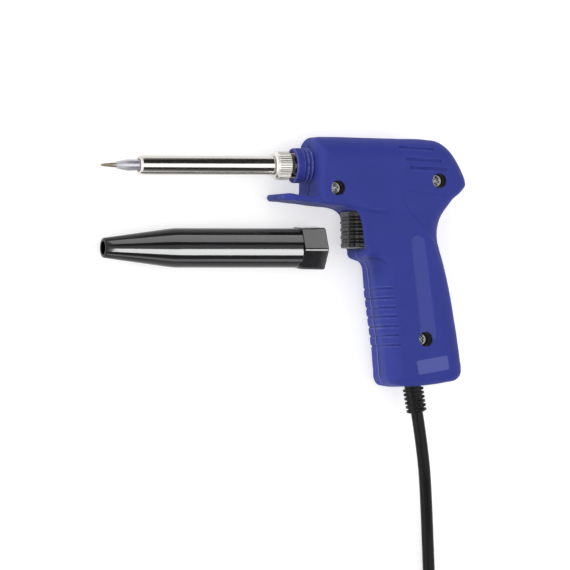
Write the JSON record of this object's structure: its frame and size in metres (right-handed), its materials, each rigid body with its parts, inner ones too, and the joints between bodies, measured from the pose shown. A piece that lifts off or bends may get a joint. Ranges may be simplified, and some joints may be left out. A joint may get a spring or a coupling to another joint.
{
  "type": "soldering iron",
  "caption": "Pistol-grip mains soldering iron with conical tip, knurled barrel nut, trigger, tapered protective cap and coiled lead.",
  "frame": {"origin": "centre of the iron and cap's bounding box, on the surface the iron lies on", "axes": "+X runs from the tip towards the rear along the barrel, +Y up the gun from grip to barrel, +Z out of the left side, away from the surface"},
  "size_m": [0.2118, 0.3656, 0.037],
  "materials": {
    "housing_blue": "fine satin moulded surface",
    "black_plastic": "satin moulded surface",
    "cap_gloss_black": "high gloss moulded surface",
    "polished_steel": "polished stainless tube with fine drawing lines",
    "nickel_plate": "bright nickel plate",
    "tip_iron": "iron plated shank with a tinned and heat tinted working point",
    "screw_zinc": "bright zinc plate",
    "ceramic_white": "unglazed steatite",
    "mica": "rolled mica sheet",
    "brass": "plain turned and stamped",
    "spring_steel": "bright drawn wire",
    "terminal_white": "plain moulded",
    "diode_black": "epoxy moulded",
    "cord_pvc": "smooth flexible sheath with a soft sheen",
    "wire_brown": "insulation",
    "wire_blue": "insulation",
    "wire_green": "insulation",
    "lead_sleeving": "woven glass sleeving",
    "clamp_grey": "plain moulded"
  },
  "bodies": {
    "housing": {"left_shell": "housing_blue", "right_shell": "housing_blue", "shell_screws": "screw_zinc", "barrel_sleeve": "polished_steel", "threaded_ferrule": "nickel_plate", "neck_seal_ring": "black_plastic", "soldering_tip": "tip_iron", "heating_element": "ceramic_white", "mica_wrap": "mica", "element_insulator": "ceramic_white", "switch_body": "black_plastic", "switch_pins": "screw_zinc", "trigger_spring": "spring_steel", "power_diode": "diode_black", "terminal_block": "terminal_white", "terminal_screws": "brass", "cord_inner_end": "cord_pvc", "cord_clamp": "clamp_grey", "clamp_screws": "screw_zinc", "live_wire": "wire_brown", "neutral_wire": "wire_blue", "earth_wire": "wire_green", "earth_tag": "brass", "element_lead_a": "lead_sleeving", "element_lead_b": "lead_sleeving", "strain_relief": "black_plastic", "cord_lead": "cord_pvc", "cord_coil": "cord_pvc", "cord_tail": "cord_pvc", "coil_ties": "black_plastic", "plug_body": "black_plastic", "plug_pins": "nickel_plate", "plug_earth_clips": "nickel_plate"},
    "trigger": {"trigger": "black_plastic"},
    "plunger": {"switch_plunger": "terminal_white"},
    "nut": {"barrel_nut": "nickel_plate"},
    "cap": {"protective_cap": "cap_gloss_black"}
  },
  "joints": [
    {"name": "trigger_pull", "type": "slide", "parent": "housing", "child": "trigger", "axis": [1, 0, 0], "range_m": [0, 0.0035], "stiffness_N_per_m": 300, "springref_m": -0.004, "deforming": ["trigger_spring"]},
    {"name": "switch_plunger_travel", "type": "slide", "parent": "housing", "child": "plunger", "axis": [1, 0, 0], "range_m": [0, 0.0035]},
    {"name": "barrel_nut_turn", "type": "hinge", "parent": "housing", "child": "nut", "pos_m": [0.00035, 0.0606, 0.0185], "axis": [-1, 0, 0], "continuous": true},
    {"name": "cap_slide", "type": "slide", "parent": "housing", "child": "cap", "axis": [-1, 0, 0], "range_m": [0, 0.14]}
  ],
  "couplings": [
    {"joint": "switch_plunger_travel", "follows": "trigger_pull", "ratio": 1}
  ]
}
